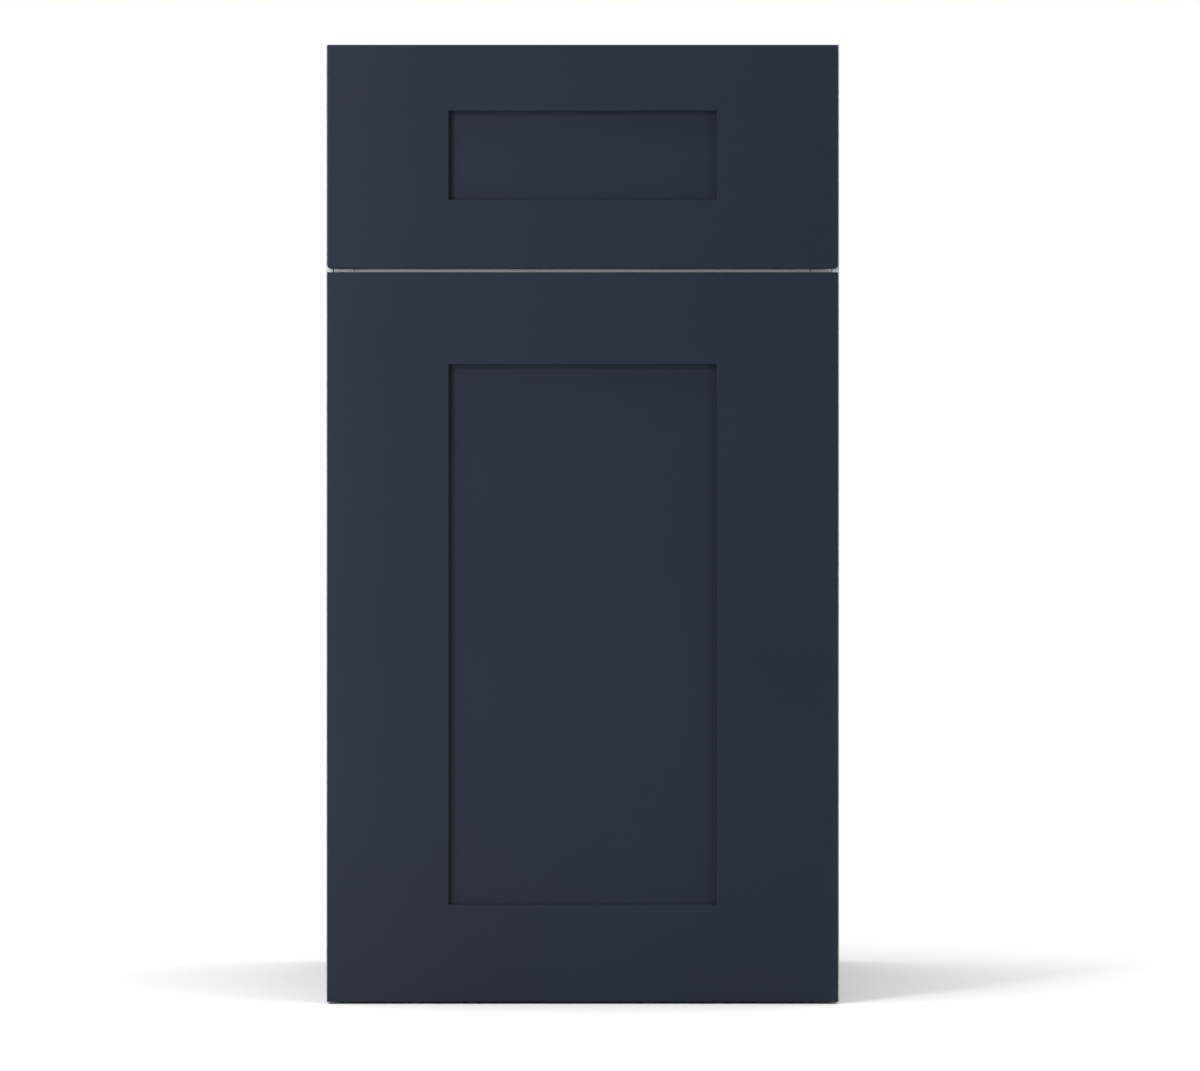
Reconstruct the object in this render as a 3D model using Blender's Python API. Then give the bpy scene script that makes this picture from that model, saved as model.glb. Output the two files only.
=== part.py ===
"""Bathroom vanity cabinet: a frameless box with one drawer over one door.

Metres, +Z up, the fronts face -Y, the origin is at the middle of the underside.
"""

import math

import bmesh
import bpy
from mathutils import Vector

MM = 0.001

# Driving dimensions, in millimetres
FRONT_FACE = -267.5
FRONT_BACK = -248.5
CARCASS_FRONT = -245.5
CARCASS_REAR = 267.5
CARCASS_HEIGHT = 752.0
SIDE_INNER = 179.5
SIDE_OUTER = 195.5
SKIN_INNER = 195.8
SKIN_OUTER = 201.5
BOARD = 16.0
BACK_THICK = 6.0
BACK_REBATE = 8.0
STRETCHER_DEPTH = 90.0
MID_STRETCHER_Z = 566.0
RAIL_HEIGHT = 99.7
FIT = 0.3
GROOVE_FIT = 0.12
JOINT = 0.05
WORKTOP_HOLE_X = 110.0
WORKTOP_HOLE_RADIUS = 3.5

FRONT_HALF_WIDTH = 200.0
STILE = 95.0
DRAWER_FRONT_BOTTOM = 575.5
DRAWER_FRONT_TOP = 750.5
DRAWER_RAIL_TOP = 51.5
DRAWER_RAIL_BOTTOM = 53.5
DOOR_BOTTOM = 1.5
DOOR_TOP = 572.5
DOOR_RAIL_TOP = 72.0
DOOR_RAIL_BOTTOM = 76.0
PANEL_FRONT = -259.7
PANEL_BACK = -253.4
GROOVE_DEPTH = 10.0
DOOR_EASE = 1.6
CORNER_EASE = 2.5

SLIDE_Z = 585.0
SLIDE_FRONT = -231.0
SLIDE_REAR = 205.0
CARRIAGE_FRONT = -112.0
CARRIAGE_REAR = 88.0

BOX_HALF_WIDTH = 174.5
BOX_SIDE = 15.0
BOX_FRONT = -248.2
BOX_REAR = 208.5
BOX_BOTTOM = 596.5
BOX_TOP = 716.5
BOX_FLOOR = 609.5
BOX_FLOOR_THICK = 6.0
FLOOR_GROOVE = 6.3
FLOOR_REACH = 6.0
TAIL_CENTRES = (616.5, 656.5, 696.5)
TAIL_WIDE = 13.0
TAIL_NARROW = 10.5

SHELF_PIN_Z = 262.0
SHELF_PIN_Y = (-150.0, 200.0)
SHELF_PIN_RADIUS = 2.25
SHELF_HOLE_RADIUS = 2.8
SHELF_HOLE_Z = (198.0, 230.0, 262.0, 294.0, 326.0)
SHELF_HALF_WIDTH = 178.3
SHELF_FRONT = -185.0
SHELF_REAR = 258.0

HINGE_Z = {"lower": 98.0, "upper": 476.0}
PIVOT_X = -193.0
PIVOT_Y = -254.0
CUP_X = -179.5
CUP_RADIUS = 17.3
CUP_DEPTH = 12.3
CUP_FLANGE = 1.2
CUP_WALL = 1.0
BORE_RADIUS = 17.5
BORE_DEPTH = 12.7
PIN_RADIUS = 1.1
PIN_EYE_RADIUS = 1.3
KNUCKLE_RADIUS = 2.0
KNUCKLE_HALF_HEIGHT = 4.2
ARM_HALF_HEIGHT = 6.9
PLATE_THICK = 2.0

LEVER_PIVOT_X = 128.5
LEVER_PIVOT_Y = -216.0
LEVER_POST_RADIUS = 1.7
LEVER_EYE_RADIUS = 1.95
LOCK_HEIGHT = (597.0, 609.2)
LEVER_HEIGHT = (600.4, 606.1)


def clear_scene():
    for item in list(bpy.data.objects):
        bpy.data.objects.remove(item, do_unlink=True)


def hex_colour(code):
    channels = []
    for start in (0, 2, 4):
        value = int(code[start:start + 2], 16) / 255
        channels.append(value / 12.92 if value <= 0.04045 else ((value + 0.055) / 1.055) ** 2.4)
    return (*channels, 1.0)


def material(name, code, rough, metal=0.0):
    found = bpy.data.materials.get(name)
    if found:
        return found
    made = bpy.data.materials.new(name)
    made.use_nodes = True
    shader = made.node_tree.nodes["Principled BSDF"]
    shader.inputs["Base Color"].default_value = hex_colour(code)
    shader.inputs["Roughness"].default_value = rough
    shader.inputs["Metallic"].default_value = metal
    made.diffuse_color = hex_colour(code)
    return made


def navy():
    return material("navy satin paint", "2F3542", 0.4)


def white_board():
    return material("white melamine board", "E9E8E4", 0.45)


def birch():
    return material("pale birch", "D8BC8C", 0.5)


def zinc():
    return material("zinc plated steel", "B9BDC0", 0.35, 1.0)


def nickel():
    return material("nickel plated steel", "C7C6C2", 0.25, 1.0)


def grey_plastic():
    return material("grey acetal", "6E7275", 0.5)


def add_object(name, mesh, finish, origin):
    for vertex in mesh.verts:
        vertex.co -= Vector(origin)
    bmesh.ops.recalc_face_normals(mesh, faces=mesh.faces)
    data = bpy.data.meshes.new(name)
    mesh.to_mesh(data)
    mesh.free()
    if finish:
        data.materials.append(finish)
    made = bpy.data.objects.new(name, data)
    made.location = origin
    bpy.context.scene.collection.objects.link(made)
    return made


def prism(name, outline, axis, low, high, finish=None, origin=(0, 0, 0), smooth=False):
    """Extrude an outline in mm along an axis; the outline is in the other two axes in order."""
    mesh = bmesh.new()
    order = {"X": (2, 0, 1), "Y": (0, 2, 1), "Z": (0, 1, 2)}[axis]
    rings = []
    for level in (low, high):
        ring = []
        for point in outline:
            triple = (point[0], point[1], level)
            ring.append(mesh.verts.new([triple[slot] * MM for slot in order]))
        rings.append(ring)
    count = len(outline)
    mesh.faces.new(rings[0])
    mesh.faces.new(list(reversed(rings[1])))
    for index in range(count):
        following = (index + 1) % count
        wall = mesh.faces.new(
            (rings[0][index], rings[1][index], rings[1][following], rings[0][following])
        )
        wall.smooth = smooth
    return add_object(name, mesh, finish, tuple(part * MM for part in origin))


def block(name, x, y, z, finish=None, origin=(0, 0, 0)):
    outline = [(x[0], y[0]), (x[1], y[0]), (x[1], y[1]), (x[0], y[1])]
    return prism(name, outline, "Z", z[0], z[1], finish, origin)


def circle(centre, radius, count, turn=0.0):
    points = []
    for index in range(count):
        angle = 2 * math.pi * (index + turn) / count
        points.append((centre[0] + radius * math.cos(angle), centre[1] + radius * math.sin(angle)))
    return points


def combine(target, cutter, operation):
    change = target.modifiers.new(operation.lower(), "BOOLEAN")
    change.operation = operation
    change.solver = "EXACT"
    change.object = cutter
    cutter.hide_render = True
    cutter.display_type = "WIRE"
    return target


def cut(target, cutter):
    return combine(target, cutter, "DIFFERENCE")


def join(target, other):
    return combine(target, other, "UNION")


def mirror_sign(side):
    return -1.0 if side == "left" else 1.0


def from_side(sign, distance):
    """X of a point a given distance in from a side panel's inner face."""
    return sign * (SIDE_INNER - distance)


def span(first, second):
    return (min(first, second), max(first, second))


# Carcass

def side_panel(side):
    sign = mirror_sign(side)
    inner = sign * SIDE_INNER
    outer = sign * SIDE_OUTER
    tongue = sign * (SIDE_INNER + BACK_REBATE)
    rebate = CARCASS_REAR - BACK_THICK - FIT
    outline = [
        (inner, CARCASS_FRONT),
        (outer, CARCASS_FRONT),
        (outer, CARCASS_REAR),
        (tongue, CARCASS_REAR),
        (tongue, rebate),
        (inner, rebate),
    ]
    panel = prism(f"side_panel_{side}", outline, "Z", 0.0, CARCASS_HEIGHT, white_board())
    for row, y in enumerate(SHELF_PIN_Y):
        for step, z in enumerate(SHELF_HOLE_Z):
            low, high = span(inner - sign * 1.0, inner + sign * 10.5)
            outline = circle((y, z), SHELF_HOLE_RADIUS, 8, 0.5)
            hole = prism(f"helper_hole_{side}_{row}_{step}", outline, "X", low, high)
            cut(panel, hole)
    return panel


def finished_end(side):
    sign = mirror_sign(side)
    x = span(sign * SKIN_INNER, sign * SKIN_OUTER)
    return block(f"finished_end_{side}", x, (CARCASS_FRONT, CARCASS_REAR), (0.0, CARCASS_HEIGHT), navy())


def top_stretcher(place, x, y, z):
    """Board across the top, drilled for the screws that go up into a worktop."""
    made = block(f"top_stretcher_{place}", x, y, z, white_board())
    middle = (y[0] + y[1]) / 2
    for number, spot in enumerate((-WORKTOP_HOLE_X, WORKTOP_HOLE_X)):
        outline = circle((spot, middle), WORKTOP_HOLE_RADIUS, 16, 0.5)
        cut(made, prism(f"helper_{place}_worktop_hole_{number}", outline, "Z", z[0] - 1.0, z[1] + 1.0))
    return made


def cross_boards():
    inside = (-SIDE_INNER + FIT, SIDE_INNER - FIT)
    rear = CARCASS_REAR - BACK_THICK - FIT
    top = (CARCASS_HEIGHT - BOARD, CARCASS_HEIGHT)
    block("bottom_panel", inside, (CARCASS_FRONT, rear), (0.0, BOARD), white_board())
    top_stretcher("front", inside, (CARCASS_FRONT, CARCASS_FRONT + STRETCHER_DEPTH), top)
    top_stretcher("rear", inside, (rear - STRETCHER_DEPTH, rear), top)
    mid_y = (CARCASS_FRONT, CARCASS_FRONT + STRETCHER_DEPTH)
    block("mid_stretcher", inside, mid_y, (MID_STRETCHER_Z, MID_STRETCHER_Z + BOARD), white_board())
    rail = (rear - BOARD, rear)
    upper = (top[0] - FIT - RAIL_HEIGHT, top[0] - FIT)
    block("hanging_rail_upper", inside, rail, upper, white_board())
    block("hanging_rail_lower", inside, rail, (BOARD + FIT, BOARD + FIT + RAIL_HEIGHT), white_board())


def back_panel():
    half = SIDE_INNER + BACK_REBATE - FIT
    y = (CARCASS_REAR - BACK_THICK, CARCASS_REAR)
    block("back_panel", (-half, half), y, (0.0, CARCASS_HEIGHT), white_board())


def shelf():
    z = SHELF_PIN_Z + SHELF_PIN_RADIUS + FIT
    x = (-SHELF_HALF_WIDTH, SHELF_HALF_WIDTH)
    block("shelf", x, (SHELF_FRONT, SHELF_REAR), (z, z + BOARD), white_board())


def lathe(name, axis, centre, profile, count, finish=None, origin=(0, 0, 0)):
    """Turn a profile of (distance along the axis, radius) pairs about an axis through centre."""
    mesh = bmesh.new()
    order = {"X": (2, 0, 1), "Y": (0, 2, 1), "Z": (0, 1, 2)}[axis]
    rings = []
    for along, radius in profile:
        ring = []
        for point in circle(centre, radius, count, 0.5):
            triple = (point[0], point[1], along)
            ring.append(mesh.verts.new([triple[slot] * MM for slot in order]))
        rings.append(ring)
    for first, second in zip(rings, rings[1:]):
        for index in range(count):
            following = (index + 1) % count
            wall = mesh.faces.new((first[index], second[index], second[following], first[following]))
            wall.smooth = True
    mesh.faces.new(rings[0])
    mesh.faces.new(list(reversed(rings[-1])))
    return add_object(name, mesh, finish, tuple(part * MM for part in origin))


def shelf_pin(side, place, y):
    sign = mirror_sign(side)
    face = sign * SIDE_INNER
    profile = [
        (face + sign * 9.5, 1.6),
        (face + sign * 9.0, SHELF_PIN_RADIUS),
        (face - sign * FIT, SHELF_PIN_RADIUS),
        (face - sign * FIT, 3.6),
        (face - sign * (FIT + 0.6), 3.6),
        (face - sign * (FIT + 0.6), SHELF_PIN_RADIUS),
        (face - sign * 8.0, SHELF_PIN_RADIUS),
    ]
    if sign > 0:
        profile.reverse()
    lathe(f"shelf_pin_{place}_{side}", "X", (y, SHELF_PIN_Z), profile, 16, nickel())


# Door hinges: one pivot pin in each cup, the arm fixed to the side panel

def rounded(corners, radius, steps=4):
    """An outline with each corner turned by an arc; corners are given anticlockwise."""
    outline = []
    count = len(corners)
    for index, corner in enumerate(corners):
        here = Vector(corner)
        back = (Vector(corners[index - 1]) - here).normalized()
        ahead = (Vector(corners[(index + 1) % count]) - here).normalized()
        half = back.angle(ahead) / 2
        centre = here + (back + ahead).normalized() * radius / math.sin(half)
        start = here + back * radius / math.tan(half) - centre
        end = here + ahead * radius / math.tan(half) - centre
        for step in range(steps + 1):
            spoke = start.lerp(end, step / steps).normalized() * radius
            outline.append((centre.x + spoke.x, centre.y + spoke.y))
    return outline


def hinge_plate(place):
    z = HINGE_Z[place]
    face = -SIDE_INNER
    wing = rounded([(-210.0, z - 24.0), (-192.0, z - 24.0), (-192.0, z + 24.0), (-210.0, z + 24.0)], 5.0)
    x = (face + FIT, face + FIT + PLATE_THICK)
    plate = prism(f"hinge_plate_{place}", wing, "X", x[0], x[1], zinc())
    bar = rounded([(-232.0, z - 6.5), (-172.0, z - 6.5), (-172.0, z + 6.5), (-232.0, z + 6.5)], 3.0)
    join(plate, prism(f"helper_bar_{place}", bar, "X", x[0], x[1]))
    boss = block(f"helper_boss_{place}", (face + 1.5, face + 7.0), (-229.0, -175.0), (z - 5.0, z + 5.0))
    return join(plate, boss)


def hinge_arm(place):
    z = HINGE_Z[place]
    face = -SIDE_INNER
    body = [
        (face + 3.0, -172.0), (face + 11.5, -170.0), (face + 11.5, -230.0),
        (face + 9.6, -239.0), (face + 2.7, -239.0), (face + 3.0, -232.0),
    ]
    arm = prism(f"hinge_arm_{place}", body, "Z", z - ARM_HALF_HEIGHT, z + ARM_HALF_HEIGHT, nickel())
    hollow = block(f"helper_hollow_{place}", (face - 4.0, face + 10.0), (-233.0, -160.0), (z - 5.4, z + 5.4))
    cut(arm, hollow)
    nose = [
        (face + 10.2, -236.0), (face + 9.0, -242.0), (face + 6.5, -250.0), (face + 4.0, -254.2),
        (face + 1.5, -255.4), (PIVOT_X + KNUCKLE_RADIUS, PIVOT_Y - 1.4),
    ]
    for step in range(7):
        angle = math.radians(-60.0 - 40.0 * step)
        spoke = (KNUCKLE_RADIUS * math.cos(angle), KNUCKLE_RADIUS * math.sin(angle))
        nose.append((PIVOT_X + spoke[0], PIVOT_Y + spoke[1]))
    nose += [
        (PIVOT_X + KNUCKLE_RADIUS, PIVOT_Y + 1.4), (face + 0.2, -252.6),
        (face + 1.6, -250.5), (face + 2.6, -240.0), (face + 2.7, -236.0),
    ]
    knuckle = (z - KNUCKLE_HALF_HEIGHT, z + KNUCKLE_HALF_HEIGHT)
    join(arm, prism(f"helper_nose_{place}", nose, "Z", knuckle[0], knuckle[1]))
    eye = circle((PIVOT_X, PIVOT_Y), PIN_EYE_RADIUS, 16, 0.5)
    return cut(arm, prism(f"helper_eye_{place}", eye, "Z", knuckle[0] - 1.0, knuckle[1] + 1.0))


def hinge_cup(place):
    z = HINGE_Z[place]
    origin = (PIVOT_X, PIVOT_Y, z)
    back = FRONT_BACK + FIT
    profile = [
        (back + CUP_FLANGE, CUP_RADIUS + CUP_FLANGE),
        (back, CUP_RADIUS + CUP_FLANGE),
        (back, CUP_RADIUS),
        (FRONT_BACK - CUP_DEPTH + 1.5, CUP_RADIUS),
        (FRONT_BACK - CUP_DEPTH, CUP_RADIUS - 1.5),
    ]
    cup = lathe(f"hinge_cup_{place}", "Y", (CUP_X, z), profile, 36, nickel(), origin)
    inner, outer = CUP_X + 1.5, CUP_X + 17.5
    wing = rounded([(inner, z - 31.0), (outer, z - 31.0), (outer, z + 31.0), (inner, z + 31.0)], 6.0)
    join(cup, prism(f"helper_wing_{place}", wing, "Y", back, back + CUP_FLANGE))
    inside = CUP_RADIUS - CUP_WALL
    well = [(back + 3.0, inside), (FRONT_BACK - CUP_DEPTH + CUP_WALL, inside)]
    cut(cup, lathe(f"helper_well_{place}", "Y", (CUP_X, z), well, 36))
    reach = math.sqrt(inside ** 2 - (PIVOT_X - CUP_X) ** 2) + 0.3
    pin = circle((PIVOT_X, PIVOT_Y), PIN_RADIUS, 16, 0.5)
    return join(cup, prism(f"helper_pin_{place}", pin, "Z", z - reach, z + reach))


# Fronts

def stile(name, sign, z, finish, origin, ease, clip):
    """Upright of a frame, grooved along its inner edge for the panel and the rail tongues."""
    x_outer = sign * FRONT_HALF_WIDTH
    inner = x_outer - sign * STILE
    depth = inner + sign * GROOVE_DEPTH
    outline = [
        (x_outer, FRONT_FACE),
        (inner, FRONT_FACE),
        (inner, PANEL_FRONT - GROOVE_FIT),
        (depth, PANEL_FRONT - GROOVE_FIT),
        (depth, PANEL_BACK + GROOVE_FIT),
        (inner, PANEL_BACK + GROOVE_FIT),
        (inner, FRONT_BACK),
        (x_outer - sign * ease, FRONT_BACK),
    ]
    if ease:
        outline.append((x_outer, FRONT_BACK - ease))
    made = prism(name, outline, "Z", z[0], z[1], finish, origin)
    if clip:
        low, high = FRONT_FACE - 2.0, FRONT_BACK + 2.0
        centre = (x_outer - sign * clip, z[0] + clip)
        corner = [(x_outer + sign * 1.0, z[0] - 1.0), (centre[0], z[0] - 1.0), (centre[0], z[0])]
        for step in range(1, 5):
            angle = math.pi / 2 * step / 4
            corner.append((centre[0] + sign * clip * math.sin(angle), centre[1] - clip * math.cos(angle)))
        corner.append((x_outer + sign * 1.0, centre[1]))
        cut(made, prism(f"helper_{name}_corner", corner, "Y", low, high))
    return made


def rail(name, z, groove_on_top, finish, origin):
    inner = FRONT_HALF_WIDTH - STILE - JOINT
    tongue = FRONT_HALF_WIDTH - STILE + GROOVE_DEPTH - GROOVE_FIT
    outline = [
        (-inner, FRONT_FACE), (inner, FRONT_FACE),
        (inner, PANEL_FRONT), (tongue, PANEL_FRONT), (tongue, PANEL_BACK), (inner, PANEL_BACK),
        (inner, FRONT_BACK), (-inner, FRONT_BACK),
        (-inner, PANEL_BACK), (-tongue, PANEL_BACK), (-tongue, PANEL_FRONT), (-inner, PANEL_FRONT),
    ]
    made = prism(name, outline, "Z", z[0], z[1], finish, origin)
    groove_z = (z[1] - GROOVE_DEPTH, z[1] + 1.0) if groove_on_top else (z[0] - 1.0, z[0] + GROOVE_DEPTH)
    groove_y = (PANEL_FRONT - GROOVE_FIT, PANEL_BACK + GROOVE_FIT)
    groove_x = (-tongue - 1.0, tongue + 1.0)
    return cut(made, block(f"helper_{name}_groove", groove_x, groove_y, groove_z))


def framed_front(prefix, bottom, top, rail_bottom, rail_top, origin, ease, clip):
    z = (bottom, top)
    stile(f"{prefix}_stile_left", -1.0, z, navy(), origin, ease, clip)
    stile(f"{prefix}_stile_right", 1.0, z, navy(), origin, 0.0, clip)
    rail(f"{prefix}_rail_top", (top - rail_top, top), False, navy(), origin)
    rail(f"{prefix}_rail_bottom", (bottom, bottom + rail_bottom), True, navy(), origin)
    float_gap = 0.4
    half = FRONT_HALF_WIDTH - STILE + GROOVE_DEPTH - float_gap
    reach = GROOVE_DEPTH - float_gap
    panel_z = (bottom + rail_bottom - reach, top - rail_top + reach)
    block(f"{prefix}_panel", (-half, half), (PANEL_FRONT, PANEL_BACK), panel_z, navy(), origin)


def door():
    origin = (PIVOT_X, PIVOT_Y, 0.0)
    framed_front("door", DOOR_BOTTOM, DOOR_TOP, DOOR_RAIL_BOTTOM, DOOR_RAIL_TOP, origin, DOOR_EASE, 0.0)
    leaf = bpy.data.objects["door_stile_left"]
    for place, z in HINGE_Z.items():
        profile = [(FRONT_BACK + 1.0, BORE_RADIUS), (FRONT_BACK - BORE_DEPTH, BORE_RADIUS)]
        cut(leaf, lathe(f"helper_bore_door_{place}", "Y", (CUP_X, z), profile, 36))


def drawer_front():
    framed_front(
        "drawer_front", DRAWER_FRONT_BOTTOM, DRAWER_FRONT_TOP,
        DRAWER_RAIL_BOTTOM, DRAWER_RAIL_TOP, (0, 0, 0), 0.0, CORNER_EASE,
    )


# Drawer box

def tail_outline(centre, face, root, grow):
    wide, narrow = TAIL_WIDE + grow, TAIL_NARROW + grow
    return [
        (face, centre - wide), (root, centre - narrow),
        (root, centre + narrow), (face, centre + wide),
    ]


def drawer_side(side):
    sign = mirror_sign(side)
    front_root = BOX_FRONT + BOX_SIDE
    rear_root = BOX_REAR - BOX_SIDE
    outline = [(front_root, BOX_TOP)]
    for centre in reversed(TAIL_CENTRES):
        low = tail_outline(centre, BOX_FRONT, front_root, 0.0)
        outline += [low[2], low[3], low[0], low[1]]
    outline += [(front_root, BOX_BOTTOM), (BOX_REAR, BOX_BOTTOM)]
    for number, centre in enumerate(TAIL_CENTRES):
        low = tail_outline(centre, BOX_REAR, rear_root, 0.0)
        outline += [low[3], low[2]] if number == 0 else [low[1], low[0], low[3], low[2]]
    outline.append((rear_root, BOX_TOP))
    x = span(sign * BOX_HALF_WIDTH, sign * (BOX_HALF_WIDTH - BOX_SIDE))
    made = prism(f"drawer_side_{side}", outline, "X", x[0], x[1], birch())
    groove = span(sign * 150.0, sign * (BOX_HALF_WIDTH - BOX_SIDE + FLOOR_REACH))
    y = (front_root - FLOOR_GROOVE, rear_root + FLOOR_GROOVE)
    z = (BOX_FLOOR - FIT, BOX_FLOOR + BOX_FLOOR_THICK + FIT)
    return cut(made, block(f"helper_groove_{side}", groove, y, z))


def drawer_end(name, face, root, notched):
    way = 1.0 if root > face else -1.0
    edge = BOX_HALF_WIDTH
    y = span(face, root - way * JOINT)
    made = block(name, (-edge, edge), y, (BOX_BOTTOM, BOX_TOP), birch())
    for sign in (-1.0, 1.0):
        x = span(sign * (edge - BOX_SIDE - JOINT), sign * (edge + 1.0))
        for number, centre in enumerate(TAIL_CENTRES):
            socket = tail_outline(centre, face - way * 1.0, root + way * 1.0, JOINT)
            slope = (TAIL_WIDE - TAIL_NARROW) / BOX_SIDE
            socket[0] = (socket[0][0], socket[0][1] - slope)
            socket[3] = (socket[3][0], socket[3][1] + slope)
            socket[1] = (socket[1][0], socket[1][1] + slope)
            socket[2] = (socket[2][0], socket[2][1] - slope)
            cut(made, prism(f"helper_{name}_{number}_{int(sign)}", socket, "X", x[0], x[1]))
    groove_y = span(root + way * 1.0, root - way * FLOOR_GROOVE)
    groove_z = (BOX_FLOOR - FIT, BOX_FLOOR + BOX_FLOOR_THICK + FIT)
    groove_half = edge - BOX_SIDE + FLOOR_REACH
    cut(made, block(f"helper_{name}_groove", (-groove_half, groove_half), groove_y, groove_z))
    if notched:
        for sign in (-1.0, 1.0):
            x = span(from_side(sign, 19.0), from_side(sign, 44.0))
            z = (BOX_BOTTOM - 1.0, BOX_FLOOR - FIT)
            cut(made, block(f"helper_{name}_notch_{int(sign)}", x, span(face - way, root + way), z))
            x = span(sign * (edge - BOX_SIDE - 1.0), sign * (edge + 1.0))
            z = (BOX_BOTTOM - 1.0, TAIL_CENTRES[0])
            cut(made, block(f"helper_{name}_corner_{int(sign)}", x, span(face - way, root + way), z))
    return made


def drawer_box():
    drawer_side("left")
    drawer_side("right")
    drawer_end("drawer_box_front", BOX_FRONT, BOX_FRONT + BOX_SIDE, False)
    drawer_end("drawer_box_back", BOX_REAR, BOX_REAR - BOX_SIDE, True)
    half = BOX_HALF_WIDTH - BOX_SIDE + FLOOR_REACH - FIT
    y = (BOX_FRONT + BOX_SIDE - FLOOR_REACH, BOX_REAR - BOX_SIDE + FLOOR_REACH)
    z = (BOX_FLOOR, BOX_FLOOR + BOX_FLOOR_THICK)
    block("drawer_bottom", (-half, half), y, z, birch())


def lock_device(side):
    """Catch under the drawer that clips it to its runner, with a finger lever."""
    sign = mirror_sign(side)
    pivot = (sign * LEVER_PIVOT_X, LEVER_PIVOT_Y)
    x = span(from_side(sign, 42.0), from_side(sign, 62.0))
    body = block(f"lock_body_{side}", x, (-232.9, -172.0), LOCK_HEIGHT, grey_plastic())
    slot = block(
        f"helper_slot_{side}", span(from_side(sign, 46.5), from_side(sign, 64.0)),
        (-222.0, -168.0), (LEVER_HEIGHT[0] - 0.4, LEVER_HEIGHT[1] + 0.4),
    )
    cut(body, slot)
    post = circle(pivot, LEVER_POST_RADIUS, 12, 0.5)
    join(body, prism(f"helper_post_{side}", post, "Z", LEVER_HEIGHT[0] - 0.9, LEVER_HEIGHT[1] + 0.9))
    outline = [
        (pivot[0] + sign * 3.8, -219.5), (pivot[0] - sign * 2.5, -219.5),
        (pivot[0] - sign * 4.5, -214.0), (pivot[0] - sign * 7.0, -190.0),
        (pivot[0] - sign * 13.0, -183.0), (pivot[0] - sign * 13.0, -174.0),
        (pivot[0] - sign * 2.0, -174.0), (pivot[0] + sign * 2.5, -190.0),
        (pivot[0] + sign * 3.8, -212.0),
    ]
    lever = prism(
        f"lock_lever_{side}", outline, "Z", LEVER_HEIGHT[0], LEVER_HEIGHT[1],
        material("orange acetal", "B4622A", 0.45), (pivot[0], pivot[1], 603.0),
    )
    eye = circle(pivot, LEVER_EYE_RADIUS, 12, 0.5)
    return cut(lever, prism(f"helper_eye_{side}", eye, "Z", LEVER_HEIGHT[0] - 2.0, LEVER_HEIGHT[1] + 2.0))


# Undermount slides

def slide_section(name, side, points, y, finish):
    sign = mirror_sign(side)
    outline = [(from_side(sign, u), SLIDE_Z + height) for u, height in points]
    if sign > 0:
        outline.reverse()
    return prism(name, outline, "Y", y[0], y[1], finish)


def slides(side):
    run = (SLIDE_FRONT, SLIDE_REAR)
    cabinet = [
        (0.3, 32.0), (0.3, 0.0), (27.8, 0.0), (27.8, 12.6), (34.2, 12.6), (34.2, 1.5),
        (35.6, 1.5), (35.6, 14.0), (26.4, 14.0), (26.4, 1.4), (1.7, 1.4), (1.7, 32.0),
    ]
    slide_section(f"slide_cabinet_member_{side}", side, cabinet, run, zinc())
    middle = [
        (23.0, 5.0), (24.2, 5.0), (24.2, 18.4), (37.8, 18.4), (37.8, 5.0),
        (39.0, 5.0), (39.0, 19.6), (23.0, 19.6),
    ]
    slide_section(f"slide_middle_member_{side}", side, middle, run, zinc())
    drawer = [
        (20.8, 12.0), (22.0, 12.0), (22.0, 23.0), (40.0, 23.0), (40.0, 12.0),
        (41.2, 12.0), (41.2, 24.2), (20.8, 24.2),
    ]
    slide_section(f"slide_drawer_member_{side}", side, drawer, run, zinc())
    lower = [
        (24.6, 6.0), (26.0, 6.0), (26.0, 14.4), (36.0, 14.4), (36.0, 6.0),
        (37.4, 6.0), (37.4, 18.0), (24.6, 18.0),
    ]
    cage = (CARRIAGE_FRONT, CARRIAGE_REAR)
    slide_section(f"roller_carriage_lower_{side}", side, lower, cage, grey_plastic())
    upper = [(23.6, 19.9), (38.4, 19.9), (38.4, 22.7), (23.6, 22.7)]
    slide_section(f"roller_carriage_upper_{side}", side, upper, cage, grey_plastic())


def build():
    clear_scene()
    for side in ("left", "right"):
        side_panel(side)
        finished_end(side)
        shelf_pin(side, "front", SHELF_PIN_Y[0])
        shelf_pin(side, "rear", SHELF_PIN_Y[1])
        slides(side)
        lock_device(side)
    cross_boards()
    back_panel()
    shelf()
    for place in HINGE_Z:
        hinge_plate(place)
        hinge_arm(place)
        hinge_cup(place)
    door()
    drawer_front()
    drawer_box()


build()
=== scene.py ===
"""The looks of a narrow bathroom vanity cabinet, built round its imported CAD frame."""

import math

import bmesh
import bpy
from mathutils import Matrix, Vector


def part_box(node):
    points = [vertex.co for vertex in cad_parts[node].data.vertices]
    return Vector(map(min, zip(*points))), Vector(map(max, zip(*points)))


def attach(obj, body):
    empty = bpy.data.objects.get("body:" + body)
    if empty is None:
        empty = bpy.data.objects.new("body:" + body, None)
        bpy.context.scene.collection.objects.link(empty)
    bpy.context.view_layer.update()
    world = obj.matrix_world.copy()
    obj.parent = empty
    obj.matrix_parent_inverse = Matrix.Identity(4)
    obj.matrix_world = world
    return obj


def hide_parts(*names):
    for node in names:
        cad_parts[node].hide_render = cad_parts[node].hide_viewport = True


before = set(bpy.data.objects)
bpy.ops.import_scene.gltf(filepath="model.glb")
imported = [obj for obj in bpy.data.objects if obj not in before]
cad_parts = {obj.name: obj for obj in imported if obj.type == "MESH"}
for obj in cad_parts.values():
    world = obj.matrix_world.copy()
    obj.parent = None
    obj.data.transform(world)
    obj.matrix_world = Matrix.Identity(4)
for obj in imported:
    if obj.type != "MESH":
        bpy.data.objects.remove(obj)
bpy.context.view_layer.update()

MM = 0.001


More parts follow.
